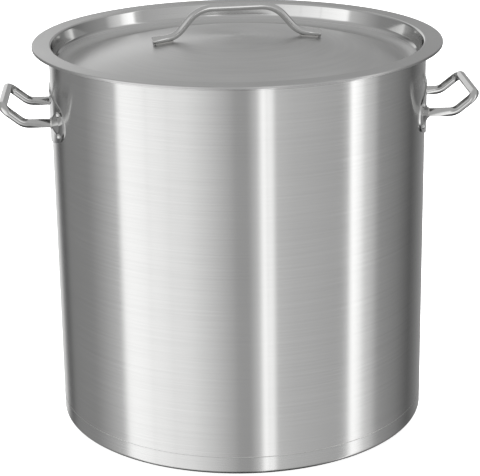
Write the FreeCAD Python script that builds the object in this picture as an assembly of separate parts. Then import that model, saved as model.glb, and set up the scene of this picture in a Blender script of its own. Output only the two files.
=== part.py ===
"""Brew kettle: a large plain stockpot with a loose recessed lid.

Millimetres, +Z up. The origin is the middle of the underside, on the surface the kettle stands on.
The side handles are on -X and +X, and the front is -Y.
"""
import FreeCAD, Part

import math
import os

from FreeCAD import Vector

# Pot
inner_diameter = 500.0
wall = 1.2
rim_height = 527.0              # ground to the top of the lip
pan_depth = 25.0                # pan underside up to the girth weld
pan_corner_radius = 4.8         # inside radius between floor and wall
lip_reach = 17.0                # how far the lip stands out past the outer wall
lip_bend_radius = 4.0
lip_edge_drop = 5.0             # turned down edge of the lip
lip_edge_radius = 2.4

# Sandwich base under the pan
base_inset = 24.2               # pot wall in to the side of the cap
core_thickness = 7.0
cap_thickness = 1.0
cap_edge_radius = 2.0
core_gap = 0.3                  # slack between the core and the wall of the cap

# Lid
lid_thickness = 1.0
lid_flange_reach = 4.8          # lid flange past the pot's lip
lid_hem_drop = 3.4
lid_hem_radius = 1.4
lid_side_clearance = 1.2        # recess wall to the pot wall
lid_recess_depth = 19.0         # flange down to the end of the upright wall
lid_recess_draft = 4.2          # the recess wall leans in by this much
lid_recess_radius = 3.4         # flange into recess wall
lid_cove_radius = 8.0
lid_cove_width = 10.5           # sloped band between recess wall and gutter
lid_cove_drop = 12.5            # fall of the sloped band
lid_gutter_radius = 18.0
lid_gutter_flat = 13.0          # straight stretch between the dome and the gutter
lid_crown = 4.5                 # top of the dome above the flange

# Lid handle, a bent round bar
lid_bar_diameter = 10.0
lid_bar_span = 228.0            # end to end
lid_bar_foot_span = 165.0       # between the two foot bends
lid_bar_top_span = 103.0        # between the two top bends
lid_bar_rise = 36.5             # foot bends up to the grip, centre to centre
lid_bar_top_radius = 40.0
lid_bar_foot_radius = 34.0
lid_bar_turn = 6.2              # degrees round from the line of the side handles
lid_bar_gap = 0.2               # weld gap under each foot
lid_weld_length = 24.0
lid_weld_width = 6.4

# Side handles
handle_drop = 92.5              # rim down to the legs
handle_bar_diameter = 12.0
leg_spacing = 121.0
leg_length = 33.0               # wall at the middle of the handle out to the leg bend
grip_reach = 27.8               # leg bend out to the grip
grip_rise = 22.3                # leg bend up to the grip
leg_bend_radius = 20.0
grip_corner_radius = 12.0

# Handle plates, ovals that hug the wall
plate_lift = 2.0                # middle of the plate above the legs
plate_thickness = 2.0
plate_end_margin = 17.5         # rivets out to the end of the plate
plate_height = 72.0
plate_end_radius = 24.0
boss_height = 2.0               # flat crown round each leg, over the plate
boss_crown_margin = 2.0         # bar out to the edge of the crown
boss_slope = 1.8                # how fast the cone round the crown widens as it falls
boss_depth = 10.0               # how far the cone is carried into the curve of the plate
leg_hole_clearance = 0.2
leg_weld_size = 2.2

# Rivets
rivet_shank_diameter = 4.8
rivet_head_diameter = 8.0
rivet_head_height = 2.8
rivet_tail_diameter = 8.6
rivet_tail_height = 1.6
rivet_hole_clearance = 0.1
rivet_spread = 29.0             # between the two rivets of a foot
rivet_outset = 23.0             # from the leg out to the rivets, straight across

# Worked out from the sizes above
inner_radius = inner_diameter / 2
outer_radius = inner_radius + wall
base_height = core_thickness + cap_thickness
base_radius = outer_radius - base_inset
girth_height = base_height + pan_depth
lip_radius = outer_radius + lip_reach
flange_radius = lip_radius + lid_flange_reach
flange_top = rim_height + lid_thickness
recess_top_radius = inner_radius - lid_side_clearance - lid_thickness
recess_foot_radius = recess_top_radius - lid_recess_draft
lid_gutter_depth = lid_recess_depth + lid_cove_drop
gutter_radius = recess_foot_radius - lid_cove_width
dome_edge_radius = gutter_radius - lid_gutter_flat
dome_top = flange_top + lid_crown
plate_radius = outer_radius + plate_thickness
handle_height = rim_height - handle_drop
plate_middle = handle_height + plate_lift
plate_length = leg_spacing + 2 * (rivet_outset + plate_end_margin)
leg_offset = leg_spacing / 2
plate_face_x = math.sqrt(plate_radius ** 2 - leg_offset ** 2)
boss_crown_x = plate_face_x + boss_height
boss_crown_radius = handle_bar_diameter / 2 + boss_crown_margin
leg_end_x = boss_crown_x - plate_thickness
rivet_angle = math.degrees(math.asin((leg_offset + rivet_outset) / outer_radius))

UP = Vector(0, 0, 1)


def rounded_path(points, radii):
    """A wire through the points, with each inner corner turned into a tangent arc."""
    edges = []
    start = points[0]
    for before, corner, after, radius in zip(points, points[1:], points[2:], radii):
        incoming = (before - corner).normalize()
        outgoing = (after - corner).normalize()
        half_angle = incoming.getAngle(outgoing) / 2
        tangent = radius / math.tan(half_angle)
        arc_start = corner + incoming * tangent
        arc_end = corner + outgoing * tangent
        centre = corner + (incoming + outgoing).normalize() * (radius / math.sin(half_angle))
        circle = Part.Circle(centre, outgoing.cross(incoming), radius)
        first = circle.parameter(arc_start)
        last = circle.parameter(arc_end)
        if last < first:
            last += 2 * math.pi
        if start.distanceToPoint(arc_start) > 1e-5:
            edges.append(Part.makeLine(start, arc_start))
        edges.append(circle.toShape(first, last))
        start = arc_end
    edges.append(Part.makeLine(start, points[-1]))
    return Part.Wire(edges)


def offset_corners(outline, radii, thickness):
    """Corners and bend radii of the same bent sheet's other side, to the right of the way it is read."""
    legs = []
    for (r0, z0), (r1, z1) in zip(outline, outline[1:]):
        length = math.hypot(r1 - r0, z1 - z0)
        legs.append(((r1 - r0) / length, (z1 - z0) / length))
    corners = [(outline[0][0] + thickness * legs[0][1], outline[0][1] - thickness * legs[0][0])]
    bends = []
    for (r, z), radius, (u0, w0), (u1, w1) in zip(outline[1:], radii, legs, legs[1:]):
        turn = u0 * w1 - w0 * u1
        mitre = thickness / (1 + u0 * u1 + w0 * w1)
        corners.append((r + mitre * (w0 + w1), z - mitre * (u0 + u1)))
        bends.append(radius + thickness if turn > 0 else radius - thickness)
    corners.append((outline[-1][0] + thickness * legs[-1][1], outline[-1][1] - thickness * legs[-1][0]))
    return corners, bends


def spun_sheet(outline, radii, thickness):
    """Sheet metal spun about Z. The outline is its inner or upper side, read from the middle outwards."""
    other_outline, other_radii = offset_corners(outline, radii, thickness)
    near = [Vector(r, 0, z) for r, z in outline]
    far = [Vector(r, 0, z) for r, z in other_outline]
    edges = rounded_path(near, radii).Edges + rounded_path(far, other_radii).Edges
    edges.append(Part.makeLine(near[0], far[0]))
    edges.append(Part.makeLine(near[-1], far[-1]))
    section = Part.Face(Part.Wire(Part.__sortEdges__(edges)))
    return section.revolve(Vector(0, 0, 0), UP, 360)


def bent_bar(points, radii, diameter):
    """A round bar along a path of straight runs and tangent bends."""
    path = rounded_path(points, radii)
    circle = Part.Circle(points[0], points[1] - points[0], diameter / 2)
    return path.makePipeShell([Part.Wire(circle.toShape())], True, False)


def ring_of(section_points, axis_start, axis):
    """A solid ring: the closed polygon turned once about an axis."""
    section = Part.Face(Part.makePolygon(section_points + section_points[:1]))
    return section.revolve(axis_start, axis, 360)


def body_shell():
    """Rolled wall with the flared lip, before the rivet holes are cut."""
    outline = [
        (inner_radius, girth_height),
        (inner_radius, rim_height),
        (lip_radius, rim_height),
        (lip_radius, rim_height - lip_edge_drop),
    ]
    return spun_sheet(outline, [lip_bend_radius, lip_edge_radius], wall)


def bottom_pan():
    """Drawn pan that closes the bottom of the wall and butts against it at the girth weld."""
    outline = [
        (0, base_height + wall),
        (inner_radius, base_height + wall),
        (inner_radius, girth_height),
    ]
    return spun_sheet(outline, [pan_corner_radius], wall)


def base_cap():
    """Thin steel dish that encloses the core and meets the floor."""
    inside = base_radius - cap_thickness
    outline = [(0, cap_thickness), (inside, cap_thickness), (inside, base_height)]
    return spun_sheet(outline, [cap_edge_radius - cap_thickness], cap_thickness)


def heat_spreader():
    """Core disc between the pan and the cap, rounded below to sit in the cap."""
    radius = base_radius - cap_thickness - core_gap
    round_over = cap_edge_radius - cap_thickness
    corners = [
        Vector(0, 0, cap_thickness),
        Vector(radius, 0, cap_thickness),
        Vector(radius, 0, base_height),
        Vector(0, 0, base_height),
    ]
    edges = rounded_path(corners[:3], [round_over]).Edges
    edges.append(Part.makeLine(corners[2], corners[3]))
    edges.append(Part.makeLine(corners[3], corners[0]))
    return Part.Face(Part.Wire(edges)).revolve(Vector(0, 0, 0), UP, 360)


def dome_slope():
    """Slope at the dome's edge that brings the gutter to its depth under the crown."""
    drop = lid_crown + lid_gutter_depth
    low, high = 0.0, math.pi / 3
    for _ in range(60):
        slope = (low + high) / 2
        fall = dome_edge_radius * math.tan(slope / 2) + lid_gutter_flat * math.tan(slope)
        if fall < drop:
            low = slope
        else:
            high = slope
    return slope


def lid_pan():
    """Pressed lid: dome, gutter, sloped band, upright recess wall, flat flange and turned down hem."""
    outline = [
        (0, dome_top),
        (dome_radius * math.tan(dome_edge_slope / 2), dome_top),
        (gutter_radius, flange_top - lid_gutter_depth),
        (recess_foot_radius, flange_top - lid_recess_depth),
        (recess_top_radius, flange_top),
        (flange_radius, flange_top),
        (flange_radius, flange_top - lid_hem_drop),
    ]
    radii = [dome_radius, lid_gutter_radius, lid_cove_radius, lid_recess_radius, lid_hem_radius]
    return spun_sheet(outline, radii, lid_thickness)


def lid_handle_points():
    """Centre line of the lid's bar in its own plane, with the feet lying along the dome."""
    foot_middle = (lid_bar_span + lid_bar_foot_span) / 4
    slope = math.asin(foot_middle / dome_radius)
    lift = dome_radius + lid_bar_gap + lid_bar_diameter / 2
    foot_z = dome_top - dome_radius + lift / math.cos(slope)
    fall = math.tan(slope)
    end, foot, top = lid_bar_span / 2, lid_bar_foot_span / 2, lid_bar_top_span / 2
    end_z = foot_z - fall * end
    bend_z = foot_z - fall * foot
    right = [Vector(top, 0, bend_z + lid_bar_rise), Vector(foot, 0, bend_z), Vector(end, 0, end_z)]
    left = [Vector(-p.x, 0, p.z) for p in reversed(right)]
    return left + right


def turned_with_lid_bar(shape):
    """The shape turned about Z from the X axis to the line of the lid's bar."""
    shape.rotate(Vector(0, 0, 0), UP, lid_bar_turn)
    return shape


def lid_handle_bar():
    """Bent round bar with square cut feet."""
    radii = [lid_bar_foot_radius, lid_bar_top_radius, lid_bar_top_radius, lid_bar_foot_radius]
    bar = bent_bar(lid_handle_points(), radii, lid_bar_diameter)
    return turned_with_lid_bar(bar)


def lid_handle_weld(side):
    """Weld under one foot of the lid's bar: a narrow pad that fills the space down to the dome."""
    foot_start, foot_end = lid_handle_points()[-2:]
    middle = (foot_start + foot_end) / 2
    along = (foot_end - foot_start).normalize()
    pad = Part.makeBox(lid_weld_length, lid_weld_width, lid_bar_diameter / 2)
    pad.translate(Vector(-lid_weld_length / 2, -lid_weld_width / 2, -lid_bar_diameter / 2 - 1))
    pad.rotate(Vector(0, 0, 0), Vector(0, 1, 0), math.degrees(math.atan2(-along.z, along.x)))
    pad.translate(middle)
    bar = Part.makeCylinder(lid_bar_diameter / 2, 2 * lid_weld_length, middle - along * lid_weld_length, along)
    dome = Part.makeSphere(dome_radius, Vector(0, 0, dome_top - dome_radius))
    weld = pad.cut(bar).cut(dome)
    lower = min(weld.Solids, key=lambda solid: solid.CenterOfMass.z)
    if side < 0:
        lower.rotate(Vector(0, 0, 0), UP, 180)
    return turned_with_lid_bar(lower)


def handle_points():
    """Centre line of the right side handle: a level leg, a rise, the grip, and back."""
    bend_x = outer_radius + leg_length
    grip_x = bend_x + grip_reach
    grip_z = handle_height + grip_rise
    front = [
        Vector(leg_end_x, -leg_offset, handle_height),
        Vector(bend_x, -leg_offset, handle_height),
        Vector(grip_x, -leg_offset, grip_z),
    ]
    back = [Vector(p.x, leg_offset, p.z) for p in reversed(front)]
    return front + back


def handle_loop():
    """Bent bar of the right side handle."""
    radii = [leg_bend_radius, grip_corner_radius, grip_corner_radius, leg_bend_radius]
    return bent_bar(handle_points(), radii, handle_bar_diameter)


def plate_outline_prism():
    """A long prism along X with the plate's oval outline: two end arcs and two flatter arcs."""
    end_centre = plate_length / 2 - plate_end_radius
    half_height = plate_height / 2
    flat_radius = (end_centre ** 2 + half_height ** 2 - plate_end_radius ** 2) / (
        2 * (half_height - plate_end_radius))
    flat_centre = half_height - flat_radius
    reach = flat_radius - plate_end_radius
    joint_y = end_centre + plate_end_radius * end_centre / reach
    joint_z = -flat_centre * plate_end_radius / reach
    x = inner_radius / 2

    def at(y, z):
        return Vector(x, y, plate_middle + z)

    arcs = [
        Part.Arc(at(joint_y, -joint_z), at(plate_length / 2, 0), at(joint_y, joint_z)),
        Part.Arc(at(joint_y, joint_z), at(0, half_height), at(-joint_y, joint_z)),
        Part.Arc(at(-joint_y, joint_z), at(-plate_length / 2, 0), at(-joint_y, -joint_z)),
        Part.Arc(at(-joint_y, -joint_z), at(0, -half_height), at(joint_y, -joint_z)),
    ]
    outline = Part.Wire([arc.toShape() for arc in arcs])
    return Part.Face(outline).extrude(Vector(inner_radius, 0, 0))


def boss_cone(y, depth):
    """The cone of one boss, or at a depth below its outside the hollow behind it."""
    height = boss_height + boss_depth
    crown_radius = boss_crown_radius + boss_slope * depth - depth * math.hypot(1, boss_slope)
    foot_radius = crown_radius + boss_slope * (height - depth)
    start = Vector(boss_crown_x - height, y, handle_height)
    return Part.makeCone(foot_radius, crown_radius, height - depth, start, Vector(1, 0, 0))


def handle_plate():
    """Oval plate of the right handle, with a pressed hollow boss and a hole for each leg."""
    low = plate_middle - plate_height
    wall_cylinder = Part.makeCylinder(outer_radius, 2 * plate_height, Vector(0, 0, low))
    plate_cylinder = Part.makeCylinder(plate_radius, 2 * plate_height, Vector(0, 0, low))
    plate = plate_outline_prism().common(plate_cylinder)
    hollow = wall_cylinder
    for y in (-leg_offset, leg_offset):
        plate = plate.fuse(boss_cone(y, 0))
        hollow = hollow.fuse(boss_cone(y, plate_thickness))
    plate = plate.cut(hollow)
    for y in (-leg_offset, leg_offset):
        radius = handle_bar_diameter / 2 + leg_hole_clearance
        start = Vector(leg_end_x - plate_thickness, y, handle_height)
        plate = plate.cut(Part.makeCylinder(radius, 3 * plate_thickness, start, Vector(1, 0, 0)))
    return plate.removeSplitter()


def leg_weld(y):
    """Fillet weld ring where one leg of the right handle leaves its boss."""
    bar = handle_bar_diameter / 2
    centre = Vector(boss_crown_x, y, handle_height)
    section = [
        centre + Vector(0, 0, bar),
        centre + Vector(0, 0, bar + leg_weld_size * 0.8),
        centre + Vector(leg_weld_size * 0.6, 0, bar + leg_weld_size * 0.5),
        centre + Vector(leg_weld_size, 0, bar),
    ]
    return ring_of(section, centre, Vector(1, 0, 0))


def rivet_places(front):
    """Height and angle of the two rivets of one foot of the right handle."""
    angle = -rivet_angle if front else rivet_angle
    return [(plate_middle + side * rivet_spread / 2, angle) for side in (-1, 1)]


def domed_head(radius, height, start, direction):
    """Round head: the cap of a sphere standing on its flat side."""
    ball = (radius ** 2 + height ** 2) / (2 * height)
    centre = start + direction * (height - ball)
    sphere = Part.makeSphere(ball, centre)
    return sphere.common(Part.makeCylinder(radius + 1, height + 1, start, direction))


def rivet(z, angle):
    """Round head outside the plate, shank through plate and wall, and a low closed head inside."""
    out = Vector(math.cos(math.radians(angle)), math.sin(math.radians(angle)), 0)
    axis_point = Vector(0, 0, z)
    shank = Part.makeCylinder(
        rivet_shank_diameter / 2, rivet_seat_outside - rivet_seat_inside,
        axis_point + out * rivet_seat_inside, out)
    head = domed_head(rivet_head_diameter / 2, rivet_head_height, axis_point + out * rivet_seat_outside, out)
    tail = domed_head(rivet_tail_diameter / 2, rivet_tail_height, axis_point + out * rivet_seat_inside, out * -1)
    return shank.fuse([head, tail]).removeSplitter()


def rivet_hole(z, angle):
    """Drill through plate and wall for one rivet."""
    out = Vector(math.cos(math.radians(angle)), math.sin(math.radians(angle)), 0)
    radius = rivet_shank_diameter / 2 + rivet_hole_clearance
    return Part.makeCylinder(radius, wall + plate_thickness + 8, out * (inner_radius - 4) + UP * z, out)


def mirrored_to_left(shape):
    """The same piece on the -X side."""
    return shape.mirror(Vector(0, 0, 0), Vector(1, 0, 0))


def build_pieces():
    """Every piece by its name."""
    shell = body_shell()
    plate = handle_plate()
    for front in (True, False):
        for z, angle in rivet_places(front):
            hole = rivet_hole(z, angle)
            plate = plate.cut(hole)
            shell = shell.cut(hole).cut(mirrored_to_left(hole))
    pieces = {
        "body_shell": shell,
        "bottom_pan": bottom_pan(),
        "base_cap": base_cap(),
        "heat_spreader_disc": heat_spreader(),
        "lid_pan": lid_pan(),
        "lid_handle_bar": lid_handle_bar(),
        "lid_handle_left_weld": lid_handle_weld(-1),
        "lid_handle_right_weld": lid_handle_weld(1),
        "right_handle_plate": plate,
        "right_handle_loop": handle_loop(),
    }
    for place, front in (("front", True), ("back", False)):
        rivets = [rivet(z, angle) for z, angle in rivet_places(front)]
        pieces["right_%s_rivets" % place] = Part.makeCompound(rivets)
        pieces["right_%s_leg_weld" % place] = leg_weld(-leg_offset if front else leg_offset)
    for name in [name for name in pieces if name.startswith("right_")]:
        pieces[name.replace("right_", "left_")] = mirrored_to_left(pieces[name])
    return pieces


def main():
    os.makedirs("parts", exist_ok=True)
    for name, shape in build_pieces().items():
        shape.exportStep("parts/%s.step" % name)


dome_edge_slope = dome_slope()
dome_radius = dome_edge_radius / math.sin(dome_edge_slope)
# Outside, the flat of a rivet head touches the plate at its middle; inside, its rim touches the wall.
rivet_seat_outside = plate_radius
rivet_seat_inside = math.sqrt(inner_radius ** 2 - (rivet_tail_diameter / 2) ** 2)

main()
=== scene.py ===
"""Looks of a large steel brew kettle: spun pot, pressed lid, bent bar handles on riveted plates.

Metres, +Z up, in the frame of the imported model. The side handles are on -X and +X, the front is -Y.
"""
import logging
import math
from dataclasses import dataclass, field
from enum import Enum

import bmesh
import bpy
from mathutils import Matrix, Vector


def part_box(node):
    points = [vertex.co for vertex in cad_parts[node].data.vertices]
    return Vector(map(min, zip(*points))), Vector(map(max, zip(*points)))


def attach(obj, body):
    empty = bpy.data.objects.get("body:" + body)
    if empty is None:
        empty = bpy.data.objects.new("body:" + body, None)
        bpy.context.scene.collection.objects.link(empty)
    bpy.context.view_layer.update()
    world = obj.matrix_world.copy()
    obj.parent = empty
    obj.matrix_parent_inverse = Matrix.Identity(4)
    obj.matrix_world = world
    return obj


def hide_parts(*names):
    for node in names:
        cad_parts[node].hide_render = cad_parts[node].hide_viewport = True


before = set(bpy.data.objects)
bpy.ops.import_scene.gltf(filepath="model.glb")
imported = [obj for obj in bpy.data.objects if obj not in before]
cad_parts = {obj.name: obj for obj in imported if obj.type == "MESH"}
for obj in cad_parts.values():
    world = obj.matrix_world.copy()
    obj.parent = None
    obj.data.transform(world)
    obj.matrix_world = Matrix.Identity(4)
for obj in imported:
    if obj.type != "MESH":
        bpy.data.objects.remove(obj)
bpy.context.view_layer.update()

log = logging.getLogger("brew_kettle")

MM = 0.001
HOLD = 0.5 * MM
UP = Vector((0.0, 0.0, 1.0))
TURN = 2 * math.pi
POT_RADIUS = 250 * MM
COARSE_ARC_STEP = 15.0
RAMP_SCALE = 2.0
Outline = list[tuple[float, float]]


class Body(Enum):
    """The bodies that pieces ride on."""

    KETTLE = "kettle"
    LID = "lid"


class Side(Enum):
    """Which side handle, by the sign of its X."""

    LEFT = -1
    RIGHT = 1

    @property
    def word(self) -> str:
        """The side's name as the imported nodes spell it."""
        return self.name.lower()


class Lay(Enum):
    """Which way the grit ran over the steel."""

    ROUND = "round"
    PLAIN = "plain"


@dataclass(frozen=True)
class SteelFinish:
    """One surface finish of the steel, from mill roll to mirror.

    Fields give the colour, the mean roughness and its spread over the grain, the share of stretch in the
    highlights, the grain's pitch across and length along, its depth, how much the tone varies, and the size
    of the wide soft clouds in it.
    """

    name: str
    lay: Lay
    color: tuple[float, float, float] = (0.62, 0.62, 0.615)
    roughness: float = 0.3
    roughness_spread: float = 0.06
    stretch: float = 0.9
    grain_pitch: float = 1.0 * MM
    grain_length: float = 60 * MM
    grain_depth: float = 0.004 * MM
    tone_spread: float = 0.06
    cloud_size: float = 120 * MM

    def material(self) -> bpy.types.Material:
        """Makes the finish as a node material, once.

        Returns:
            The material of this finish.
        """
        made = bpy.data.materials.get(self.name)
        if made is not None:
            return made
        made = bpy.data.materials.new(self.name)
        made.use_nodes = True
        tree = made.node_tree
        shader = tree.nodes["Principled BSDF"]
        shader.inputs["Metallic"].default_value = 1.0
        shader.inputs["Anisotropic"].default_value = self.stretch
        grain = self._noise(tree, self._grain_vector(tree), 1.0, 4.0)
        cloud = self._noise(tree, self._object_vector(tree), 1 / self.cloud_size, 2.0)
        self._tone(tree, shader, grain, cloud)
        self._gloss(tree, shader, grain, cloud)
        self._relief(tree, shader, grain)
        if self.lay is Lay.ROUND:
            tangent = tree.nodes.new("ShaderNodeTangent")
            tangent.direction_type = "RADIAL"
            tangent.axis = "Z"
            tree.links.new(tangent.outputs["Tangent"], shader.inputs["Tangent"])
            shader.inputs["Anisotropic Rotation"].default_value = 0.25
        return made

    def _object_vector(self, tree: bpy.types.NodeTree) -> bpy.types.NodeSocket:
        """The object coordinates socket.

        Args:
            tree: Node tree of the material.

        Returns:
            The socket with the place on the object, in metres.
        """
        return tree.nodes.new("ShaderNodeTexCoord").outputs["Object"]

    def _grain_vector(self, tree: bpy.types.NodeTree) -> bpy.types.NodeSocket:
        """Stretches the place on the object along the lay of the grain.

        A grain that runs round Z is read on a circle, so that it closes on itself with no seam.

        Args:
            tree: Node tree of the material.

        Returns:
            The socket with the place in grains.
        """
        place = self._object_vector(tree)
        if self.lay is not Lay.ROUND:
            mapping = tree.nodes.new("ShaderNodeMapping")
            mapping.inputs["Scale"].default_value = (1 / self.grain_pitch,) * 3
            tree.links.new(place, mapping.inputs["Vector"])
            return mapping.outputs["Vector"]
        flat = self._vector_math(tree, "MULTIPLY", place, (1.0, 1.0, 0.0))
        radius = self._vector_math(tree, "LENGTH", flat)
        unit = self._vector_math(tree, "NORMALIZE", flat)
        wide = self._vector_math(tree, "SCALE", unit)
        wide.node.inputs["Scale"].default_value = POT_RADIUS / self.grain_length
        height = tree.nodes.new("ShaderNodeSeparateXYZ")
        tree.links.new(place, height.inputs[0])
        across = self._math(tree, "ADD", height.outputs["Z"], radius)
        fine = self._math(tree, "DIVIDE", across, self.grain_pitch)
        split = tree.nodes.new("ShaderNodeSeparateXYZ")
        tree.links.new(wide, split.inputs[0])
        joined = tree.nodes.new("ShaderNodeCombineXYZ")
        tree.links.new(split.outputs["X"], joined.inputs["X"])
        tree.links.new(split.outputs["Y"], joined.inputs["Y"])
        tree.links.new(fine, joined.inputs["Z"])
        return joined.outputs["Vector"]

    @staticmethod
    def _vector_math(tree: bpy.types.NodeTree, operation: str, first: bpy.types.NodeSocket,
                     second: tuple[float, float, float] | None = None) -> bpy.types.NodeSocket:
        """Adds a vector math node.

        Args:
            tree: Node tree of the material.
            operation: Name of the operation.
            first: Socket of the first vector.
            second: The second vector, where there is one.

        Returns:
            The node's output that holds the result.
        """
        node = tree.nodes.new("ShaderNodeVectorMath")
        node.operation = operation
        tree.links.new(first, node.inputs[0])
        if second is not None:
            node.inputs[1].default_value = second
        return node.outputs["Value" if operation == "LENGTH" else "Vector"]

    @staticmethod
    def _math(tree: bpy.types.NodeTree, operation: str, first: bpy.types.NodeSocket,
              second: bpy.types.NodeSocket | float) -> bpy.types.NodeSocket:
        """Adds a math node.

        Args:
            tree: Node tree of the material.
            operation: Name of the operation.
            first: Socket of the first number.
            second: Socket of the second number, or the number.

        Returns:
            The node's output.
        """
        node = tree.nodes.new("ShaderNodeMath")
        node.operation = operation
        tree.links.new(first, node.inputs[0])
        if isinstance(second, float):
            node.inputs[1].default_value = second
        else:
            tree.links.new(second, node.inputs[1])
        return node.outputs[0]

    @staticmethod
    def _noise(tree: bpy.types.NodeTree, place: bpy.types.NodeSocket, scale: float,
               detail: float) -> bpy.types.NodeSocket:
        """Adds a noise texture.

        Args:
            tree: Node tree of the material.
            place: Socket with the place to read it at.
            scale: Features per unit of the place.
            detail: Number of finer layers.

        Returns:
            The socket with the noise, about 0.5.
        """
        node = tree.nodes.new("ShaderNodeTexNoise")
        node.inputs["Scale"].default_value = scale
        node.inputs["Detail"].default_value = detail
        tree.links.new(place, node.inputs["Vector"])
        return node.outputs["Fac"]

    def _spread(self, tree: bpy.types.NodeTree, source: bpy.types.NodeSocket, middle: float,
                spread: float) -> bpy.types.NodeSocket:
        """Maps a noise to a range about a middle value.

        Args:
            tree: Node tree of the material.
            source: Socket with the noise.
            middle: Value at a noise of 0.5.
            spread: How far the value goes each way.

        Returns:
            The socket with the mapped value.
        """
        node = tree.nodes.new("ShaderNodeMapRange")
        node.inputs["From Min"].default_value = 0.25
        node.inputs["From Max"].default_value = 0.75
        node.inputs["To Min"].default_value = middle - spread
        node.inputs["To Max"].default_value = middle + spread
        tree.links.new(source, node.inputs["Value"])
        return node.outputs["Result"]

    def _tone(self, tree: bpy.types.NodeTree, shader: bpy.types.Node, grain: bpy.types.NodeSocket,
              cloud: bpy.types.NodeSocket) -> None:
        """Varies the steel's colour with the grain and with wide soft clouds.

        Args:
            tree: Node tree of the material.
            shader: The surface shader.
            grain: Socket with the grain's noise.
            cloud: Socket with the wide noise.
        """
        both = self._math(tree, "ADD", self._spread(tree, grain, 0.5, self.tone_spread),
                          self._spread(tree, cloud, 0.5, self.tone_spread * 0.4))
        scaled = tree.nodes.new("ShaderNodeVectorMath")
        scaled.operation = "SCALE"
        scaled.inputs[0].default_value = self.color
        tree.links.new(both, scaled.inputs["Scale"])
        tree.links.new(scaled.outputs["Vector"], shader.inputs["Base Color"])

    def _gloss(self, tree: bpy.types.NodeTree, shader: bpy.types.Node, grain: bpy.types.NodeSocket,
               cloud: bpy.types.NodeSocket) -> None:
        """Varies the roughness with the grain and the clouds.

        Args:
            tree: Node tree of the material.
            shader: The surface shader.
            grain: Socket with the grain's noise.
            cloud: Socket with the wide noise.
        """
        fine = self._spread(tree, grain, self.roughness, self.roughness_spread)
        wide = self._spread(tree, cloud, 0.0, self.roughness_spread * 0.4)
        tree.links.new(self._math(tree, "ADD", fine, wide), shader.inputs["Roughness"])

    def _relief(self, tree: bpy.types.NodeTree, shader: bpy.types.Node,
                grain: bpy.types.NodeSocket) -> None:
        """Gives the grain its depth.

        Args:
            tree: Node tree of the material.
            shader: The surface shader.
            grain: Socket with the grain's noise.
        """
        bump = tree.nodes.new("ShaderNodeBump")
        bump.inputs["Strength"].default_value = 1.0
        bump.inputs["Distance"].default_value = self.grain_depth
        tree.links.new(grain, bump.inputs["Height"])
        tree.links.new(bump.outputs["Normal"], shader.inputs["Normal"])


BRUSHED_WALL = SteelFinish("brushed_wall_steel", Lay.ROUND, roughness=0.165, roughness_spread=0.02,
                           stretch=1.0, grain_pitch=1.3 * MM, grain_length=130 * MM, grain_depth=0.002 * MM,
                           tone_spread=0.045)
TURNED_LID = SteelFinish("ring_brushed_lid_steel", Lay.ROUND, roughness=0.36, roughness_spread=0.03,
                         stretch=0.7, grain_pitch=5 * MM, grain_length=160 * MM, grain_depth=0.001 * MM)
SATIN_FLANGE = SteelFinish("satin_flange_steel", Lay.ROUND, roughness=0.38, stretch=0.6,
                           grain_pitch=0.8 * MM, grain_length=40 * MM, grain_depth=0.002 * MM,
                           color=(0.56, 0.56, 0.555))
MIRROR_RECESS = SteelFinish("polished_recess_steel", Lay.ROUND, roughness=0.08, roughness_spread=0.02,
                            stretch=0.3, tone_spread=0.03, grain_depth=0.0005 * MM)
POLISHED_BAR = SteelFinish("polished_bar_steel", Lay.PLAIN, roughness=0.09, roughness_spread=0.03,
                           stretch=0.0, grain_pitch=5 * MM, tone_spread=0.04, grain_depth=0.001 * MM)
POLISHED_PLATE = SteelFinish("polished_plate_steel", Lay.PLAIN, roughness=0.09, roughness_spread=0.03,
                             stretch=0.0, grain_pitch=6 * MM, tone_spread=0.04, grain_depth=0.001 * MM)
GIRTH_SEAM = SteelFinish("planished_seam_steel", Lay.ROUND, color=(0.68, 0.68, 0.67), roughness=0.33,
                         stretch=0.4, grain_pitch=0.5 * MM, grain_length=8 * MM, grain_depth=0.004 * MM)
RIVET_HEAD = SteelFinish("rivet_steel", Lay.PLAIN, roughness=0.24, stretch=0.0, grain_pitch=1.5 * MM,
                         grain_depth=0.003 * MM)
# Weld colour, darker and warmer than the sheet, with a wider tone spread: partly the weld's own heat tint,
# partly painted shade standing in for the shadow under the lid bar's feet.
WELD_BEAD_TINT_AND_SHADE = SteelFinish("weld_bead_tint_and_shade_steel", Lay.PLAIN, color=(0.55, 0.545, 0.53), roughness=0.36,
                        stretch=0.0, grain_pitch=0.8 * MM, grain_depth=0.01 * MM, tone_spread=0.12)
CORE_METAL = SteelFinish("aluminium_core", Lay.PLAIN, color=(0.72, 0.72, 0.73), roughness=0.45, stretch=0.0,
                         grain_pitch=2 * MM)


def finish_piece(bm: bmesh.types.BMesh, name: str, body: Body, replaced: list[str],
                 finishes: list[SteelFinish], smooth_angle: float = 35.0) -> bpy.types.Object:
    """Turns a bmesh into a finished piece that rides on its body.

    Args:
        bm: The mesh, in its place; it is freed.
        name: Name of the piece.
        body: Body that it rides on.
        replaced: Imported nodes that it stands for, or none for a piece that only adds to the looks.
        finishes: Finishes in the order of the faces' material numbers.
        smooth_angle: Edges that fold by more than this many degrees stay sharp.

    Returns:
        The new object.
    """
    mesh = bpy.data.meshes.new(name)
    bm.to_mesh(mesh)
    bm.free()
    mesh.shade_smooth()
    mesh.set_sharp_from_angle(angle=math.radians(smooth_angle))
    for finish in finishes:
        mesh.materials.append(finish.material())
    piece = bpy.data.objects.new(name, mesh)
    bpy.context.scene.collection.objects.link(piece)
    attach(piece, body.value)
    if replaced:
        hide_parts(*replaced)
    log.info("%s: %d faces on %s, for %s", name, len(mesh.polygons), body.value, ", ".join(replaced))
    return piece


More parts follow.
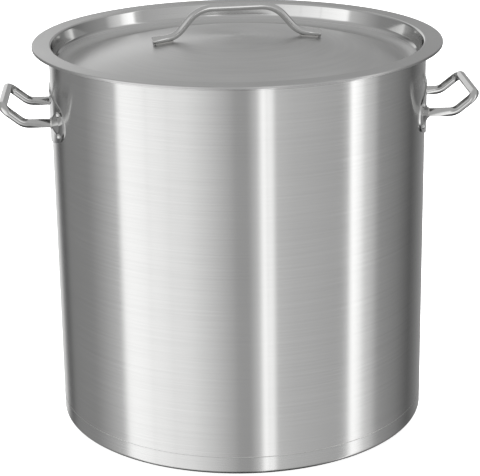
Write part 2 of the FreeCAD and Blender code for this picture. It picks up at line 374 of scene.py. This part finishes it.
def thicken(piece: bpy.types.Object, thickness: float, edge_round: float) -> None:
    """Gives a sheet its thickness, on the back of its faces, and breaks its cut edges.

    Args:
        piece: The sheet, as a single surface.
        thickness: Thickness of the metal.
        edge_round: Width of the broken edges.
    """
    wall = piece.modifiers.new("wall", "SOLIDIFY")
    wall.thickness = thickness
    wall.offset = -1.0
    wall.use_even_offset = True
    wall.use_quality_normals = True
    break_edges(piece, edge_round)


def break_edges(piece: bpy.types.Object, width: float, sharper_than: float = 50.0) -> None:
    """Rounds the sharp edges of a piece.

    Args:
        piece: The piece.
        width: Width of the rounding.
        sharper_than: Edges that fold by more than this many degrees are rounded.
    """
    edges = piece.modifiers.new("edges", "BEVEL")
    edges.width = width
    edges.segments = 2
    edges.limit_method = "ANGLE"
    edges.angle_limit = math.radians(sharper_than)
    edges.use_clamp_overlap = True


class ProfilePen:
    """Draws a spun piece's profile as a chain of edges in the XZ plane: straight runs and tangent arcs."""

    def __init__(self, bm: bmesh.types.BMesh, arc_step: float = 6.0) -> None:
        """Starts with no points.

        Args:
            bm: Mesh to draw in.
            arc_step: Degrees between the points of an arc.
        """
        self.bm = bm
        self.arc_step = math.radians(arc_step)

    def line_to(self, tip: bmesh.types.BMVert, place: Vector) -> bmesh.types.BMVert:
        """Draws a straight run, held at both ends so that the arcs beside it don't tilt its shading.

        Args:
            tip: Last point of the chain.
            place: Where the run ends.

        Returns:
            The new last point.
        """
        run = place - tip.co
        if run.length < 1e-7:
            return tip
        hold = run.normalized() * HOLD
        stops = [tip.co + hold, place - hold, place] if run.length > 6 * HOLD else [place]
        for stop in stops:
            tip = bmesh.ops.extrude_vert_indiv(self.bm, verts=[tip])["verts"][0]
            tip.co = stop
        return tip

    def draw(self, outline: Outline, radii: list[float]) -> list[bmesh.types.BMEdge]:
        """Draws the chain through an outline's corners, each turned into an arc.

        Args:
            outline: Corners as (radius, height).
            radii: Radius of the arc at each inner corner.

        Returns:
            The edges of the chain.
        """
        points = [Vector((r, 0.0, z)) for r, z in outline]
        tip = self.bm.verts.new(points[0])
        for before, corner, after, radius in zip(points, points[1:], points[2:], radii):
            incoming = (before - corner).normalized()
            outgoing = (after - corner).normalized()
            half = incoming.angle(outgoing) / 2
            tangent = radius / math.tan(half)
            tip = self.line_to(tip, corner + incoming * tangent)
            centre = corner + (incoming + outgoing).normalized() * (radius / math.sin(half))
            sweep = math.pi - 2 * half
            steps = max(2, math.ceil(sweep / self.arc_step))
            arc = bmesh.ops.spin(self.bm, geom=[tip], cent=centre, axis=outgoing.cross(incoming),
                                 dvec=(0, 0, 0), angle=sweep, steps=steps, use_merge=False,
                                 use_duplicate=False)
            tip = next(item for item in arc["geom_last"] if isinstance(item, bmesh.types.BMVert))
        self.line_to(tip, points[-1])
        return list(self.bm.edges)


def spun(outline: Outline, radii: list[float], steps: int, arc_step: float = 6.0) -> bmesh.types.BMesh:
    """Spins a sheet's profile about Z into a closed round surface.

    Args:
        outline: Corners as (radius, height), from the middle or the foot outwards.
        radii: Radius of the arc at each inner corner.
        steps: Divisions of the full turn.
        arc_step: Degrees between the points of the profile's arcs.

    Returns:
        The surface, its poles merged and its faces pointing one way.
    """
    bm = bmesh.new()
    edges = ProfilePen(bm, arc_step).draw(outline, radii)
    bmesh.ops.spin(bm, geom=edges, cent=(0, 0, 0), axis=UP, dvec=(0, 0, 0), angle=TURN, steps=steps,
                   use_merge=True, use_duplicate=False)
    bmesh.ops.remove_doubles(bm, verts=bm.verts, dist=1e-6)
    bmesh.ops.recalc_face_normals(bm, faces=bm.faces)
    return bm


def face_towards(bm: bmesh.types.BMesh, place: Vector, direction: Vector) -> None:
    """Turns the whole surface so that its face nearest a place looks a given way.

    Args:
        bm: The surface, with its faces all pointing one way.
        place: Place near the face to look at.
        direction: The way that this face has to point.
    """
    nearest = min(bm.faces, key=lambda f: (f.calc_center_median() - place).length_squared)
    nearest.normal_update()
    if nearest.normal.dot(direction) < 0:
        bmesh.ops.reverse_faces(bm, faces=bm.faces)


@dataclass
class Pot:
    """The pot: rolled wall with its lip, drawn pan and sandwich base."""

    inner_radius: float = POT_RADIUS
    wall: float = 1.2 * MM
    lip_bend_radius: float = 4 * MM
    lip_edge_drop: float = 5 * MM
    lip_edge_radius: float = 2.4 * MM
    pan_corner_radius: float = 4.8 * MM
    cap_edge_radius: float = 2 * MM
    cap_thickness: float = 1 * MM
    girth_groove: float = 0.25 * MM
    seam_width: float = 1.6 * MM
    seam_crown: float = 0.18 * MM
    steps: int = 288

    def build(self) -> None:
        """Makes every piece of the pot."""
        self.kettle_wall()
        self.drawn_pan()
        self.girth_seam()
        self.base_cap()
        self.core()

    def kettle_wall(self) -> bpy.types.Object:
        """Makes the brushed wall and its flared, turned down lip.

        Returns:
            The wall.
        """
        low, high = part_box("body_shell")
        lip_radius = high.x
        outline = [
            (self.inner_radius, low.z),
            (self.inner_radius, high.z),
            (lip_radius, high.z),
            (lip_radius, high.z - self.lip_edge_drop),
        ]
        bm = spun(outline, [self.lip_bend_radius, self.lip_edge_radius], self.steps)
        face_towards(bm, Vector((self.inner_radius, 0, (low.z + high.z) / 2)), Vector((-1, 0, 0)))
        piece = finish_piece(bm, "brushed_kettle_wall", Body.KETTLE, ["body_shell"], [BRUSHED_WALL])
        thicken(piece, self.wall, self.girth_groove)
        return piece

    def drawn_pan(self) -> bpy.types.Object:
        """Makes the drawn pan that closes the bottom.

        Returns:
            The pan.
        """
        low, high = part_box("bottom_pan")
        floor = low.z + self.wall
        outline = [(0, floor), (self.inner_radius, floor), (self.inner_radius, high.z)]
        bm = spun(outline, [self.pan_corner_radius], self.steps)
        face_towards(bm, Vector((0, 0, floor)), UP)
        piece = finish_piece(bm, "drawn_bottom_pan", Body.KETTLE, ["bottom_pan"], [BRUSHED_WALL])
        thicken(piece, self.wall, self.girth_groove)
        return piece

    def girth_seam(self) -> bpy.types.Object:
        """Makes the planished weld that joins the pan to the wall, barely proud of both.

        Returns:
            The seam.
        """
        seam_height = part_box("body_shell")[0].z
        outside = self.inner_radius + self.wall
        outline = [
            (outside - self.wall / 2, seam_height - self.seam_width / 2),
            (outside + self.seam_crown, seam_height - self.seam_width / 2),
            (outside + self.seam_crown, seam_height + self.seam_width / 2),
            (outside - self.wall / 2, seam_height + self.seam_width / 2),
        ]
        bm = spun(outline, [self.seam_width * 0.45] * 2, self.steps, arc_step=COARSE_ARC_STEP)
        bmesh.ops.bridge_loops(bm, edges=[edge for edge in bm.edges if edge.is_boundary])
        bmesh.ops.recalc_face_normals(bm, faces=bm.faces)
        face_towards(bm, Vector((outside, 0, seam_height)), Vector((1, 0, 0)))
        return finish_piece(bm, "girth_weld_seam", Body.KETTLE, [], [GIRTH_SEAM])

    def base_cap(self) -> bpy.types.Object:
        """Makes the thin dish under the core.

        Returns:
            The cap.
        """
        low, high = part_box("base_cap")
        inside = high.x - self.cap_thickness
        floor = low.z + self.cap_thickness
        outline = [(0, floor), (inside, floor), (inside, high.z)]
        bm = spun(outline, [self.cap_edge_radius - self.cap_thickness], self.steps, arc_step=COARSE_ARC_STEP)
        face_towards(bm, Vector((0, 0, floor)), UP)
        piece = finish_piece(bm, "sandwich_base_cap", Body.KETTLE, ["base_cap"], [BRUSHED_WALL])
        thicken(piece, self.cap_thickness, 0.2 * MM)
        return piece

    def core(self) -> None:
        """Dresses the hidden core disc."""
        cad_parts["heat_spreader_disc"].data.materials.clear()
        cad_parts["heat_spreader_disc"].data.materials.append(CORE_METAL.material())


@dataclass
class Lid:
    """The pressed lid with its recess, gutter and dome, and the bent bar on it."""

    thickness: float = 1 * MM
    hem_drop: float = 3.4 * MM
    hem_radius: float = 1.4 * MM
    flange_above_rim: float = 1 * MM
    recess_top_radius: float = 247.8 * MM
    recess_draft: float = 4.2 * MM
    recess_depth: float = 19 * MM
    recess_radius: float = 3.4 * MM
    cove_radius: float = 8 * MM
    cove_width: float = 10.5 * MM
    cove_drop: float = 12.5 * MM
    gutter_radius: float = 18 * MM
    gutter_flat: float = 13 * MM
    crown: float = 4.5 * MM
    steps: int = 288
    foot_span: float = 165 * MM
    top_span: float = 103 * MM
    rise: float = 36.5 * MM
    top_bend: float = 40 * MM
    foot_bend: float = 34 * MM
    bar_diameter: float = 10 * MM
    bar_span: float = 228 * MM
    bar_gap: float = 0.2 * MM
    bar_turn: float = math.radians(6.2)
    flange_top: float = field(init=False)
    flange_radius: float = field(init=False)
    dome_slope: float = field(init=False)
    dome_radius: float = field(init=False)

    def __post_init__(self) -> None:
        """Works out the dome from the recess that it fills."""
        self.flange_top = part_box("body_shell")[1].z + self.flange_above_rim
        self.flange_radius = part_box("lid_pan")[1].x - 0.02 * MM
        edge = self.gutter_middle - self.gutter_flat
        fall_wanted = self.crown + self.recess_depth + self.cove_drop
        low, high = 0.0, math.pi / 3
        for _ in range(60):
            self.dome_slope = (low + high) / 2
            fall = edge * math.tan(self.dome_slope / 2) + self.gutter_flat * math.tan(self.dome_slope)
            if fall < fall_wanted:
                low = self.dome_slope
            else:
                high = self.dome_slope
        self.dome_radius = edge / math.sin(self.dome_slope)

    @property
    def recess_foot(self) -> float:
        """Radius at the foot of the recess wall."""
        return self.recess_top_radius - self.recess_draft

    @property
    def gutter_middle(self) -> float:
        """Radius of the lowest ring of the gutter."""
        return self.recess_foot - self.cove_width

    @property
    def dome_top(self) -> float:
        """Height of the crown."""
        return self.flange_top + self.crown

    def build(self) -> None:
        """Makes every piece of the lid."""
        self.pressing()
        self.handle_bar()
        self.foot_welds()

    def pressing(self) -> bpy.types.Object:
        """Makes the pressed sheet, with its wall polished and the rest brushed in rings.

        Returns:
            The pressing.
        """
        outline = [
            (0, self.dome_top),
            (self.dome_radius * math.tan(self.dome_slope / 2), self.dome_top),
            (self.gutter_middle, self.flange_top - self.recess_depth - self.cove_drop),
            (self.recess_foot, self.flange_top - self.recess_depth),
            (self.recess_top_radius, self.flange_top),
            (self.flange_radius, self.flange_top),
            (self.flange_radius, self.flange_top - self.hem_drop),
        ]
        radii = [self.dome_radius, self.gutter_radius, self.cove_radius, self.recess_radius, self.hem_radius]
        bm = spun(outline, radii, self.steps, arc_step=2.0)
        face_towards(bm, Vector((0, 0, self.dome_top)), UP)
        for face in bm.faces:
            middle = face.calc_center_median()
            radius = math.hypot(middle.x, middle.y)
            if radius > self.recess_top_radius + self.recess_radius / 2:
                face.material_index = 1
            elif radius > self.recess_foot - self.cove_radius / 3:
                face.material_index = 2
        piece = finish_piece(bm, "pressed_lid", Body.LID, ["lid_pan"],
                             [TURNED_LID, SATIN_FLANGE, MIRROR_RECESS])
        thicken(piece, self.thickness, 0.2 * MM)
        return piece

    def handle_bar(self) -> bpy.types.Object:
        """Makes the bent bar whose feet lie along the dome.

        Returns:
            The bar.
        """
        slope = math.asin((self.bar_span + self.foot_span) / 4 / self.dome_radius)
        lift = self.dome_radius + self.bar_gap + self.bar_diameter / 2
        foot_z = self.dome_top - self.dome_radius + lift / math.cos(slope)
        fall = math.tan(slope)
        bend_z = foot_z - fall * self.foot_span / 2
        right = [
            Vector((self.top_span / 2, 0, bend_z + self.rise)),
            Vector((self.foot_span / 2, 0, bend_z)),
            Vector((self.bar_span / 2, 0, foot_z - fall * self.bar_span / 2)),
        ]
        left = [Vector((-p.x, 0, p.z)) for p in reversed(right)]
        radii = [self.foot_bend, self.top_bend, self.top_bend, self.foot_bend]
        bm = BentBar(self.bar_diameter).draw(left + right, radii)
        bmesh.ops.rotate(bm, verts=bm.verts, cent=(0, 0, 0), matrix=Matrix.Rotation(self.bar_turn, 3, "Z"))
        piece = finish_piece(bm, "lid_grip_bar", Body.LID, ["lid_handle_bar"], [POLISHED_BAR])
        break_edges(piece, 0.8 * MM)
        return piece

    def foot_welds(self) -> None:
        """Dresses the welds under the bar's feet in the darker weld colour, which is partly the weld's heat
        tint and partly painted shade for the shadow under the feet.
        """
        for side in Side:
            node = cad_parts["lid_handle_%s_weld" % side.word]
            node.data.materials.clear()
            node.data.materials.append(WELD_BEAD_TINT_AND_SHADE.material())


class BentBar:
    """Draws a round bar along straight runs and tangent bends that lie in one plane."""

    def __init__(self, diameter: float, segments: int = 40) -> None:
        """Keeps the bar's size.

        Args:
            diameter: Diameter of the bar.
            segments: Divisions round the bar.
        """
        self.radius = diameter / 2
        self.segments = segments

    def draw(self, points: list[Vector], radii: list[float]) -> bmesh.types.BMesh:
        """Draws the bar.

        Args:
            points: Corners of the centre line.
            radii: Bend radius at each inner corner.

        Returns:
            The bar as a closed mesh.
        """
        bm = bmesh.new()
        start_turn = (points[1] - points[0]).to_track_quat("Z", "Y").to_matrix().to_4x4()
        bmesh.ops.create_circle(bm, cap_ends=True, segments=self.segments, radius=self.radius,
                                matrix=Matrix.Translation(points[0]) @ start_turn)
        ring = list(bm.edges)
        at = points[0]
        for before, corner, after, radius in zip(points, points[1:], points[2:], radii):
            incoming = (before - corner).normalized()
            outgoing = (after - corner).normalized()
            half = incoming.angle(outgoing) / 2
            tangent = radius / math.tan(half)
            ring = self.straight(bm, ring, corner + incoming * tangent - at)
            centre = corner + (incoming + outgoing).normalized() * (radius / math.sin(half))
            sweep = math.pi - 2 * half
            arc = bmesh.ops.spin(bm, geom=ring, cent=centre, axis=outgoing.cross(incoming), dvec=(0, 0, 0),
                                 angle=sweep, steps=max(6, math.ceil(math.degrees(sweep) / 4)),
                                 use_merge=False, use_duplicate=False)
            ring = [item for item in arc["geom_last"] if isinstance(item, bmesh.types.BMEdge)]
            at = corner + outgoing * tangent
        ring = self.straight(bm, ring, points[-1] - at)
        bmesh.ops.holes_fill(bm, edges=ring, sides=0)
        bmesh.ops.remove_doubles(bm, verts=bm.verts, dist=1e-7)
        bmesh.ops.recalc_face_normals(bm, faces=bm.faces)
        return bm

    @staticmethod
    def straight(bm: bmesh.types.BMesh, ring: list[bmesh.types.BMEdge],
                 step: Vector) -> list[bmesh.types.BMEdge]:
        """Extrudes the bar's open end, held at both ends so that the bends don't tilt its shading.

        Args:
            bm: Mesh of the bar.
            ring: Edges of the open end.
            step: Length and way of the straight run.

        Returns:
            Edges of the new open end.
        """
        hold = step.normalized() * HOLD
        for move in (hold, step - 2 * hold, hold):
            made = bmesh.ops.extrude_edge_only(bm, edges=ring)["geom"]
            bmesh.ops.translate(bm, verts=[v for v in made if isinstance(v, bmesh.types.BMVert)], vec=move)
            ring = [e for e in made if isinstance(e, bmesh.types.BMEdge)]
        return ring


@dataclass
class SideHandle:
    """One side handle: oval plate with two pressed bosses, bent bar, welds and rivets."""

    side: Side
    outer_radius: float = 251.2 * MM
    bar_diameter: float = 12 * MM
    leg_spacing: float = 121 * MM
    leg_length: float = 33 * MM
    grip_reach: float = 27.8 * MM
    grip_rise: float = 22.3 * MM
    leg_bend_radius: float = 20 * MM
    corner_radius: float = 12 * MM
    weld_size: float = 2.2 * MM
    weld_ripples: int = 24
    ripple_depth: float = 0.25 * MM
    edge_round: float = 0.6 * MM
    crease: float = 22.0

    def build(self) -> None:
        """Makes every piece of the handle."""
        self.plate()
        self.loop()
        for place in ("front", "back"):
            self.leg_weld(place)
            self.rivets(place)

    def node(self, part: str) -> str:
        """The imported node's name of one part of this handle."""
        return "%s_%s" % (self.side.word, part)

    def plate(self) -> bpy.types.Object:
        """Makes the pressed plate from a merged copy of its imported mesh, with every edge eased.

        Returns:
            The plate.
        """
        bm = bmesh.new()
        bm.from_mesh(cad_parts[self.node("handle_plate")].data)
        bmesh.ops.remove_doubles(bm, verts=bm.verts, dist=2e-6)
        bmesh.ops.dissolve_limit(bm, angle_limit=math.radians(0.4), verts=bm.verts, edges=bm.edges)
        piece = finish_piece(bm, self.node("oval_plate"), Body.KETTLE, [self.node("handle_plate")],
                             [POLISHED_PLATE], smooth_angle=25)
        break_edges(piece, self.edge_round, self.crease)
        return piece

    def loop(self) -> bpy.types.Object:
        """Makes the bent bar: two level legs, a rise and the grip.

        Returns:
            The bar.
        """
        low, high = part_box(self.node("handle_loop"))
        start_x = min(abs(low.x), abs(high.x))
        leg_z = low.z + self.bar_diameter / 2
        bend_x = self.outer_radius + self.leg_length
        half = self.leg_spacing / 2
        front = [
            Vector((start_x, -half, leg_z)),
            Vector((bend_x, -half, leg_z)),
            Vector((bend_x + self.grip_reach, -half, leg_z + self.grip_rise)),
        ]
        path = front + [Vector((p.x, -p.y, p.z)) for p in reversed(front)]
        path = [Vector((p.x * self.side.value, p.y, p.z)) for p in path]
        radii = [self.leg_bend_radius, self.corner_radius, self.corner_radius, self.leg_bend_radius]
        bm = BentBar(self.bar_diameter).draw(path, radii)
        piece = finish_piece(bm, self.node("grip_bar"), Body.KETTLE, [self.node("handle_loop")],
                             [POLISHED_BAR])
        break_edges(piece, self.edge_round)
        return piece

    def leg_weld(self, place: str) -> bpy.types.Object:
        """Makes the rippled fillet weld where one leg leaves its boss.

        Args:
            place: "front" or "back".

        Returns:
            The weld.
        """
        name = self.node("%s_leg_weld" % place)
        low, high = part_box(name)
        middle = (low + high) / 2
        foot_x = min(abs(low.x), abs(high.x)) * self.side.value
        bar = self.bar_diameter / 2
        size = self.weld_size
        outwards = Vector((self.side.value, 0, 0))
        centre = Vector((foot_x, middle.y, middle.z))
        bm = bmesh.new()
        section = [
            centre + UP * bar,
            centre + UP * (bar + size * 0.8),
            centre + outwards * (size * 0.35) + UP * (bar + size * 0.72),
            centre + outwards * (size * 0.75) + UP * (bar + size * 0.4),
            centre + outwards * size + UP * bar,
        ]
        corners = [bm.verts.new(point) for point in section]
        edges = [bm.edges.new(pair) for pair in zip(corners, corners[1:] + corners[:1])]
        bmesh.ops.spin(bm, geom=edges, cent=centre, axis=(1, 0, 0), dvec=(0, 0, 0), angle=TURN, steps=96,
                       use_merge=True, use_duplicate=False)
        bmesh.ops.remove_doubles(bm, verts=bm.verts, dist=1e-7)
        bmesh.ops.recalc_face_normals(bm, faces=bm.faces)
        for vert in bm.verts:
            arm = vert.co - centre
            spread = math.hypot(arm.y, arm.z) - bar
            if spread > 0.1 * MM:
                ripple = 0.5 + 0.5 * math.sin(self.weld_ripples * math.atan2(arm.z, arm.y))
                vert.co -= Vector((0, arm.y, arm.z)).normalized() * (ripple * self.ripple_depth)
        return finish_piece(bm, self.node("%s_leg_bead" % place), Body.KETTLE, [name], [WELD_BEAD_TINT_AND_SHADE],
                            smooth_angle=80)

    def rivets(self, place: str) -> bpy.types.Object:
        """Makes the two rivets of one foot: round head, shank and the low closed head inside.

        Args:
            place: "front" or "back".

        Returns:
            Both rivets as one piece.
        """
        name = self.node("%s_rivets" % place)
        bm = bmesh.new()
        bm.from_mesh(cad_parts[name].data)
        bmesh.ops.remove_doubles(bm, verts=bm.verts, dist=1e-6)
        return finish_piece(bm, self.node("%s_rivet_pair" % place), Body.KETTLE, [name],
                            [RIVET_HEAD], smooth_angle=40)


@dataclass(frozen=True)
class HorizonStop:
    """Brightness of the studio at one azimuth: 0 is where the camera stands, positive towards +X."""

    azimuth: float
    light: float


@dataclass(frozen=True)
class Post:
    """A narrow upright that darkens the studio's light, such as the frame between two panes."""

    azimuth: float
    half_width: float
    depth: float


@dataclass
class Studio:
    """Floor, light and camera."""

    camera_distance: float = 2.2690
    camera_height: float = 1.0158
    camera_azimuth: float = math.radians(3.1)
    camera_pitch: float = 0.3269
    camera_roll: float = -0.0144
    lens: float = 129.68
    floor_half: float = 30.0
    floor_glow: float = 0.8
    lamp_size: float = 5.0
    lamp_height: float = 4.0
    lamp_power: float = 260.0
    overhead_light: float = 0.55
    overhead_span: tuple[float, float] = (0.1, 0.75)
    underfoot_share: float = 0.1
    underfoot_span: tuple[float, float] = (-0.92, -0.62)
    horizon: tuple[HorizonStop, ...] = (
        HorizonStop(-180, 0.92), HorizonStop(-160, 0.83), HorizonStop(-152, 0.28), HorizonStop(-145, 0.11),
        HorizonStop(-135, 0.29), HorizonStop(-108, 0.34), HorizonStop(-97, 0.49), HorizonStop(-82, 0.74),
        HorizonStop(-79.5, 1.54), HorizonStop(-47, 1.23), HorizonStop(-35, 1.13), HorizonStop(-23, 0.9),
        HorizonStop(-8, 0.57), HorizonStop(-5, 0.48), HorizonStop(2, 0.46), HorizonStop(7.3, 0.76),
        HorizonStop(9.3, 1), HorizonStop(10.5, 1.62), HorizonStop(17.3, 1.32), HorizonStop(18.7, 0.77),
        HorizonStop(30, 0.67), HorizonStop(61, 0.54), HorizonStop(66.7, 0.72), HorizonStop(68.3, 1.85),
        HorizonStop(76.2, 1.36), HorizonStop(78.2, 0.98), HorizonStop(87, 0.68), HorizonStop(90.5, 0.42),
        HorizonStop(110, 0.29), HorizonStop(128, 0.125), HorizonStop(142, 0.235), HorizonStop(162, 0.4),
    )
    posts: tuple[Post, ...] = (Post(-59.8, 0.9, 0.22), Post(-45.8, 0.8, 0.12), Post(13.5, 0.8, 0.25))

    def build(self) -> None:
        """Makes the whole stage."""
        self.floor()
        self.floor_light()
        self.surroundings()
        self.camera()
        bpy.context.scene.view_settings.view_transform = "Standard"

    def floor(self) -> None:
        """Lays a plain pale floor."""
        bm = bmesh.new()
        bmesh.ops.create_grid(bm, x_segments=1, y_segments=1, size=self.floor_half)
        mesh = bpy.data.meshes.new("studio_floor")
        bm.to_mesh(mesh)
        bm.free()
        pale = bpy.data.materials.new("pale_floor")
        pale.use_nodes = True
        shader = pale.node_tree.nodes["Principled BSDF"]
        shader.inputs["Base Color"].default_value = (0.9, 0.9, 0.9, 1)
        shader.inputs["Roughness"].default_value = 1.0
        shader.inputs["Specular IOR Level"].default_value = 0.0
        shader.inputs["Emission Color"].default_value = (1.0, 1.0, 1.0, 1)
        shader.inputs["Emission Strength"].default_value = self.floor_glow
        mesh.materials.append(pale)
        floor = bpy.data.objects.new("studio_floor", mesh)
        bpy.context.scene.collection.objects.link(floor)
        floor.visible_glossy = False
        floor.visible_shadow = False

    def floor_light(self) -> None:
        """Hangs a wide soft light that whitens the floor and isn't mirrored in the steel."""
        lamp = bpy.data.lights.new("floor_softbox", "AREA")
        lamp.shape = "DISK"
        lamp.size = self.lamp_size
        lamp.energy = self.lamp_power
        light = bpy.data.objects.new("floor_softbox", lamp)
        light.location = (0, 0, self.lamp_height)
        light.visible_glossy = False
        light.visible_camera = False
        bpy.context.scene.collection.objects.link(light)

    def surroundings(self) -> None:
        """Makes the studio's soft light from every side: brighter and darker uprights round the horizon."""
        world = bpy.data.worlds.new("studio")
        bpy.context.scene.world = world
        world.use_nodes = True
        tree = world.node_tree
        place = tree.nodes.new("ShaderNodeSeparateXYZ")
        tree.links.new(tree.nodes.new("ShaderNodeTexCoord").outputs["Generated"], place.inputs[0])
        back = self._math(tree, "MULTIPLY", place.outputs["Y"], -1.0)
        angle = self._math(tree, "ARCTAN2", place.outputs["X"], back)
        azimuth = self._math(tree, "MULTIPLY", angle, 180 / math.pi)
        share = tree.nodes.new("ShaderNodeMapRange")
        share.inputs["From Min"].default_value = -180
        share.inputs["From Max"].default_value = 180
        tree.links.new(azimuth, share.inputs["Value"])
        ramp = tree.nodes.new("ShaderNodeValToRGB")
        ramp.color_ramp.interpolation = "LINEAR"
        elements = ramp.color_ramp.elements
        for number, stop in enumerate(self.horizon):
            position = (stop.azimuth + 180) / 360
            element = elements[number] if number < 2 else elements.new(position)
            element.position = position
            element.color = (stop.light / RAMP_SCALE,) * 3 + (1.0,)
        tree.links.new(share.outputs["Result"], ramp.inputs["Fac"])
        light = self._math(tree, "MULTIPLY", ramp.outputs["Color"], RAMP_SCALE)
        for post in self.posts:
            off = self._math(tree, "SUBTRACT", azimuth, post.azimuth)
            away = self._math(tree, "ABSOLUTE", off, 0.0)
            shade = tree.nodes.new("ShaderNodeMapRange")
            shade.interpolation_type = "SMOOTHSTEP"
            shade.inputs["From Min"].default_value = 0.0
            shade.inputs["From Max"].default_value = post.half_width
            shade.inputs["To Min"].default_value = post.depth
            shade.inputs["To Max"].default_value = 0.0
            tree.links.new(away, shade.inputs["Value"])
            light = self._math(tree, "SUBTRACT", light, shade.outputs["Result"])
        overhead = tree.nodes.new("ShaderNodeMapRange")
        overhead.interpolation_type = "SMOOTHSTEP"
        overhead_from, overhead_full = self.overhead_span
        overhead.inputs["From Min"].default_value = overhead_from
        overhead.inputs["From Max"].default_value = overhead_full
        tree.links.new(place.outputs["Z"], overhead.inputs["Value"])
        blend = tree.nodes.new("ShaderNodeMix")
        tree.links.new(overhead.outputs["Result"], blend.inputs["Factor"])
        tree.links.new(light, blend.inputs["A"])
        blend.inputs["B"].default_value = self.overhead_light
        underfoot = tree.nodes.new("ShaderNodeMapRange")
        underfoot.interpolation_type = "SMOOTHSTEP"
        darkest, unshaded = self.underfoot_span
        underfoot.inputs["From Min"].default_value = darkest
        underfoot.inputs["From Max"].default_value = unshaded
        underfoot.inputs["To Min"].default_value = self.underfoot_share
        underfoot.inputs["To Max"].default_value = 1.0
        tree.links.new(place.outputs["Z"], underfoot.inputs["Value"])
        lit = self._math(tree, "MULTIPLY", blend.outputs["Result"], underfoot.outputs["Result"])
        plain = tree.nodes.new("ShaderNodeLightPath")
        shown = tree.nodes.new("ShaderNodeMix")
        tree.links.new(plain.outputs["Is Camera Ray"], shown.inputs["Factor"])
        tree.links.new(lit, shown.inputs["A"])
        shown.inputs["B"].default_value = 1.0
        background = tree.nodes["Background"]
        tree.links.new(shown.outputs["Result"], background.inputs["Color"])

    @staticmethod
    def _math(tree: bpy.types.NodeTree, operation: str, first: bpy.types.NodeSocket,
              second: bpy.types.NodeSocket | float) -> bpy.types.NodeSocket:
        """Adds a math node to the studio's light.

        Args:
            tree: Node tree of the studio.
            operation: Name of the operation.
            first: Socket of the first number.
            second: Socket of the second number, or the number.

        Returns:
            The node's output.
        """
        node = tree.nodes.new("ShaderNodeMath")
        node.operation = operation
        tree.links.new(first, node.inputs[0])
        if isinstance(second, (int, float)):
            node.inputs[1].default_value = second
        else:
            tree.links.new(second, node.inputs[1])
        return node.outputs[0]

    def camera(self) -> None:
        """Stands the camera in front, a little to the left, looking down on the lid."""
        data = bpy.data.cameras.new("camera")
        data.sensor_width = 36
        data.lens = self.lens
        data.clip_end = 100
        camera = bpy.data.objects.new("camera", data)
        bpy.context.scene.collection.objects.link(camera)
        turn = self.camera_azimuth
        ahead = Vector((math.sin(turn), math.cos(turn), 0))
        across = Vector((math.cos(turn), -math.sin(turn), 0))
        gaze = ahead * math.cos(self.camera_pitch) - UP * math.sin(self.camera_pitch)
        lift = ahead * math.sin(self.camera_pitch) + UP * math.cos(self.camera_pitch)
        right = across * math.cos(self.camera_roll) + lift * math.sin(self.camera_roll)
        top = lift * math.cos(self.camera_roll) - across * math.sin(self.camera_roll)
        place = -ahead * self.camera_distance + UP * self.camera_height
        camera.matrix_world = Matrix((
            (right.x, top.x, -gaze.x, place.x),
            (right.y, top.y, -gaze.y, place.y),
            (right.z, top.z, -gaze.z, place.z),
            (0, 0, 0, 1),
        ))
        bpy.context.scene.camera = camera


def main() -> None:
    """Builds the kettle and its stage."""
    logging.basicConfig(level=logging.INFO, format="%(message)s")
    Pot().build()
    Lid().build()
    for side in Side:
        SideHandle(side).build()
    Studio().build()


if __name__ == "__main__":
    main()
